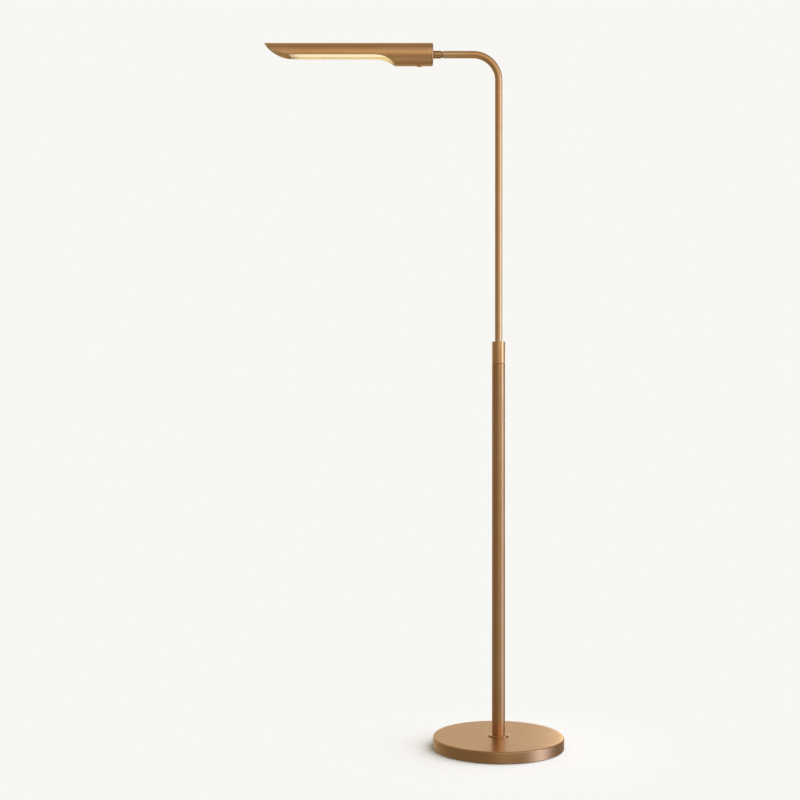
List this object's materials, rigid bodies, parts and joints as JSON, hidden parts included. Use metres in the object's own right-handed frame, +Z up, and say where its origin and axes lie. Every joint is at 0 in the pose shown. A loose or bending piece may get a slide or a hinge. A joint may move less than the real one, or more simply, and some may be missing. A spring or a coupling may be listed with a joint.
{
  "type": "floor lamp",
  "caption": "Slender brass floor lamp: round weighted base, telescoping stem with twist collar, bent arm, half-open cylindrical head that rolls, LED strip inside.",
  "frame": {"origin": "on the floor at the axis of the base, the lower tube and the stem", "axes": "+Z up along the stem; the arm and the head point along -X; +Y is the back, where the cord inlet is"},
  "size_m": [0.5819, 0.2557, 1.3662],
  "materials": {
    "satin_brass": "brushed and burnished, satin lacquer",
    "polished_brass": "fine turned",
    "cast_iron": "black painted casting",
    "zinc_steel": "zinc plated",
    "dark_felt": "pressed felt",
    "black_plastic": "moulded, fine grain",
    "white_nylon": "natural nylon",
    "bare_aluminium": "extruded, plain",
    "white_board": "white solder mask",
    "opal_acrylic": "opal, lit from behind",
    "lead_sheath": "smooth sheath",
    "dark_fibre": "pressed fibre"
  },
  "bodies": {
    "base": {"floor_pad": "dark_felt", "bottom_plate": "zinc_steel", "plate_screw_1": "zinc_steel", "plate_screw_2": "zinc_steel", "plate_screw_3": "zinc_steel", "base_weight": "cast_iron", "base_cover": "satin_brass", "cord_gland": "black_plastic", "base_flange": "satin_brass", "threaded_nipple": "zinc_steel", "nipple_washer": "zinc_steel", "nipple_nut": "zinc_steel", "pole_foot_plug": "polished_brass", "lower_tube": "satin_brass", "tube_top_insert": "polished_brass", "collet": "white_nylon", "coiled_lead": "lead_sheath"},
    "collar": {"lock_collar": "satin_brass"},
    "slider": {"stem_guide": "white_nylon"},
    "arm": {"retaining_clip_1": "zinc_steel", "retaining_clip_2": "zinc_steel", "swivel_stop_pin": "zinc_steel", "stem_arm": "satin_brass", "arm_lead": "lead_sheath", "arm_tip_plug": "polished_brass", "fibre_washer": "dark_fibre", "stop_washer": "zinc_steel", "spigot_nut": "zinc_steel"},
    "head": {"neck_ferrule": "satin_brass", "rear_cap": "satin_brass", "roll_stop_pin_1": "zinc_steel", "roll_stop_pin_2": "zinc_steel", "shade_tube": "satin_brass", "bulkhead": "bare_aluminium", "bulkhead_screw_1": "zinc_steel", "bulkhead_screw_2": "zinc_steel", "heat_sink": "bare_aluminium", "led_board": "white_board", "diffuser": "opal_acrylic", "end_plate": "satin_brass", "end_plate_screw_1": "zinc_steel", "end_plate_screw_2": "zinc_steel", "driver_tray": "zinc_steel", "tray_screw": "zinc_steel", "driver_case": "black_plastic", "switch_module": "black_plastic", "button_guide": "satin_brass", "button_spring": "zinc_steel"},
    "button": {"push_button": "polished_brass"}
  },
  "joints": [
    {"name": "collar_twist", "type": "hinge", "parent": "base", "child": "collar", "pos_m": [0, 0, 0.766], "axis": [0, 0, 1], "range_deg": [0, 90]},
    {"name": "height_slide", "type": "slide", "parent": "base", "child": "slider", "axis": [0, 0, 1], "range_m": [-0.33, 0.11], "deforming": ["coiled_lead"]},
    {"name": "arm_swivel", "type": "hinge", "parent": "slider", "child": "arm", "pos_m": [0, 0, 0.56], "axis": [0, 0, 1], "range_deg": [-160, 160]},
    {"name": "head_roll", "type": "hinge", "parent": "arm", "child": "head", "pos_m": [-0.1275, 0, 1.344], "axis": [1, 0, 0], "range_deg": [-90, 90]},
    {"name": "button_press", "type": "slide", "parent": "head", "child": "button", "axis": [0, 0, 1], "range_m": [0, 0.001], "stiffness_N_per_m": 600, "springref_m": -0.0005, "deforming": ["button_spring"]}
  ]
}
